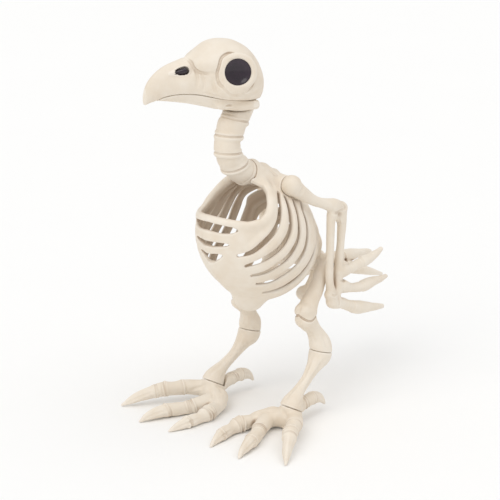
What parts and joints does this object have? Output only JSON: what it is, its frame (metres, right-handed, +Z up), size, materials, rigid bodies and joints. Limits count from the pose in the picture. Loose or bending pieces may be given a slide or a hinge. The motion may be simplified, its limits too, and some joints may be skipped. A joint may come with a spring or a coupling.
{
  "type": "posable bird skeleton figure",
  "caption": "Free-standing posable bird skeleton figure with turning head, opening beak, swinging wings and legs, in ivory plastic.",
  "frame": {"origin": "on the floor, at the centre of the figure's outline seen from above", "axes": "the bird looks along -Y, its left side is +X, +Z is up"},
  "size_m": [0.2168, 0.2855, 0.3733],
  "materials": {
    "bone_plastic": "matt, soft satin sheen, warm ivory",
    "dark_gloss": "gloss, very dark purple-black",
    "steel": "zinc-plated",
    "washer": "matt"
  },
  "bodies": {
    "torso": {"neck_left_half": "bone_plastic", "neck_right_half": "bone_plastic", "torso_left_half": "bone_plastic", "torso_right_half": "bone_plastic", "pelvis": "bone_plastic", "tail_fan": "bone_plastic", "hip_screws": "steel", "hip_washers": "washer"},
    "head": {"skull_left_half": "bone_plastic", "skull_right_half": "bone_plastic", "eye_left": "dark_gloss", "eye_right": "dark_gloss", "nostril_left": "dark_gloss", "nostril_right": "dark_gloss", "jaw_hinge_pins": "steel"},
    "jaw": {"lower_jaw": "bone_plastic"},
    "wing_left_body": {"wing_left": "bone_plastic", "shoulder_screw_left": "steel", "shoulder_washer_left": "washer"},
    "thigh_left_body": {"thigh_left": "bone_plastic"},
    "shank_left_body": {"shank_left": "bone_plastic", "hock_pin_left": "bone_plastic", "ankle_pin_left": "bone_plastic"},
    "foot_left_body": {"foot_left": "bone_plastic"},
    "wing_right_body": {"wing_right": "bone_plastic", "shoulder_screw_right": "steel", "shoulder_washer_right": "washer"},
    "thigh_right_body": {"thigh_right": "bone_plastic"},
    "shank_right_body": {"shank_right": "bone_plastic", "hock_pin_right": "bone_plastic", "ankle_pin_right": "bone_plastic"},
    "foot_right_body": {"foot_right": "bone_plastic"}
  },
  "joints": [
    {"name": "head_turn", "type": "hinge", "parent": "torso", "child": "head", "pos_m": [0, -0.05811, 0.3087], "axis": [0, 0, 1], "range_deg": [-65, 115]},
    {"name": "jaw_open", "type": "hinge", "parent": "head", "child": "jaw", "pos_m": [0.00338, -0.05086, 0.3161], "axis": [0.9063, -0.4226, 0], "range_deg": [0, 12]},
    {"name": "shoulder_left", "type": "hinge", "parent": "torso", "child": "wing_left_body", "pos_m": [0.033, -0.02091, 0.2336], "axis": [1, 0, 0], "range_deg": [0, 75]},
    {"name": "hip_left", "type": "hinge", "parent": "torso", "child": "thigh_left_body", "pos_m": [0.031, 0.03349, 0.143], "axis": [1, 0, 0], "range_deg": [-8, 3]},
    {"name": "hock_left", "type": "hinge", "parent": "thigh_left_body", "child": "shank_left_body", "pos_m": [0.0463, 0.00819, 0.0643], "axis": [0, 0.2689, 0.9632], "range_deg": [-10, 40]},
    {"name": "ankle_left", "type": "hinge", "parent": "shank_left_body", "child": "foot_left_body", "pos_m": [0.0513, -0.04071, 0.0202], "axis": [0, 0.5, 0.866], "range_deg": [-10, 30]},
    {"name": "shoulder_right", "type": "hinge", "parent": "torso", "child": "wing_right_body", "pos_m": [-0.033, -0.02091, 0.2336], "axis": [1, 0, 0], "range_deg": [-6, 69]},
    {"name": "hip_right", "type": "hinge", "parent": "torso", "child": "thigh_right_body", "pos_m": [-0.031, 0.03349, 0.143], "axis": [1, 0, 0], "range_deg": [-8, 3]},
    {"name": "hock_right", "type": "hinge", "parent": "thigh_right_body", "child": "shank_right_body", "pos_m": [-0.0463, 0.00819, 0.0643], "axis": [0, 0.2689, 0.9632], "range_deg": [-40, 10]},
    {"name": "ankle_right", "type": "hinge", "parent": "shank_right_body", "child": "foot_right_body", "pos_m": [-0.0513, -0.04071, 0.0202], "axis": [0, 0.5, 0.866], "range_deg": [-30, 10]}
  ]
}
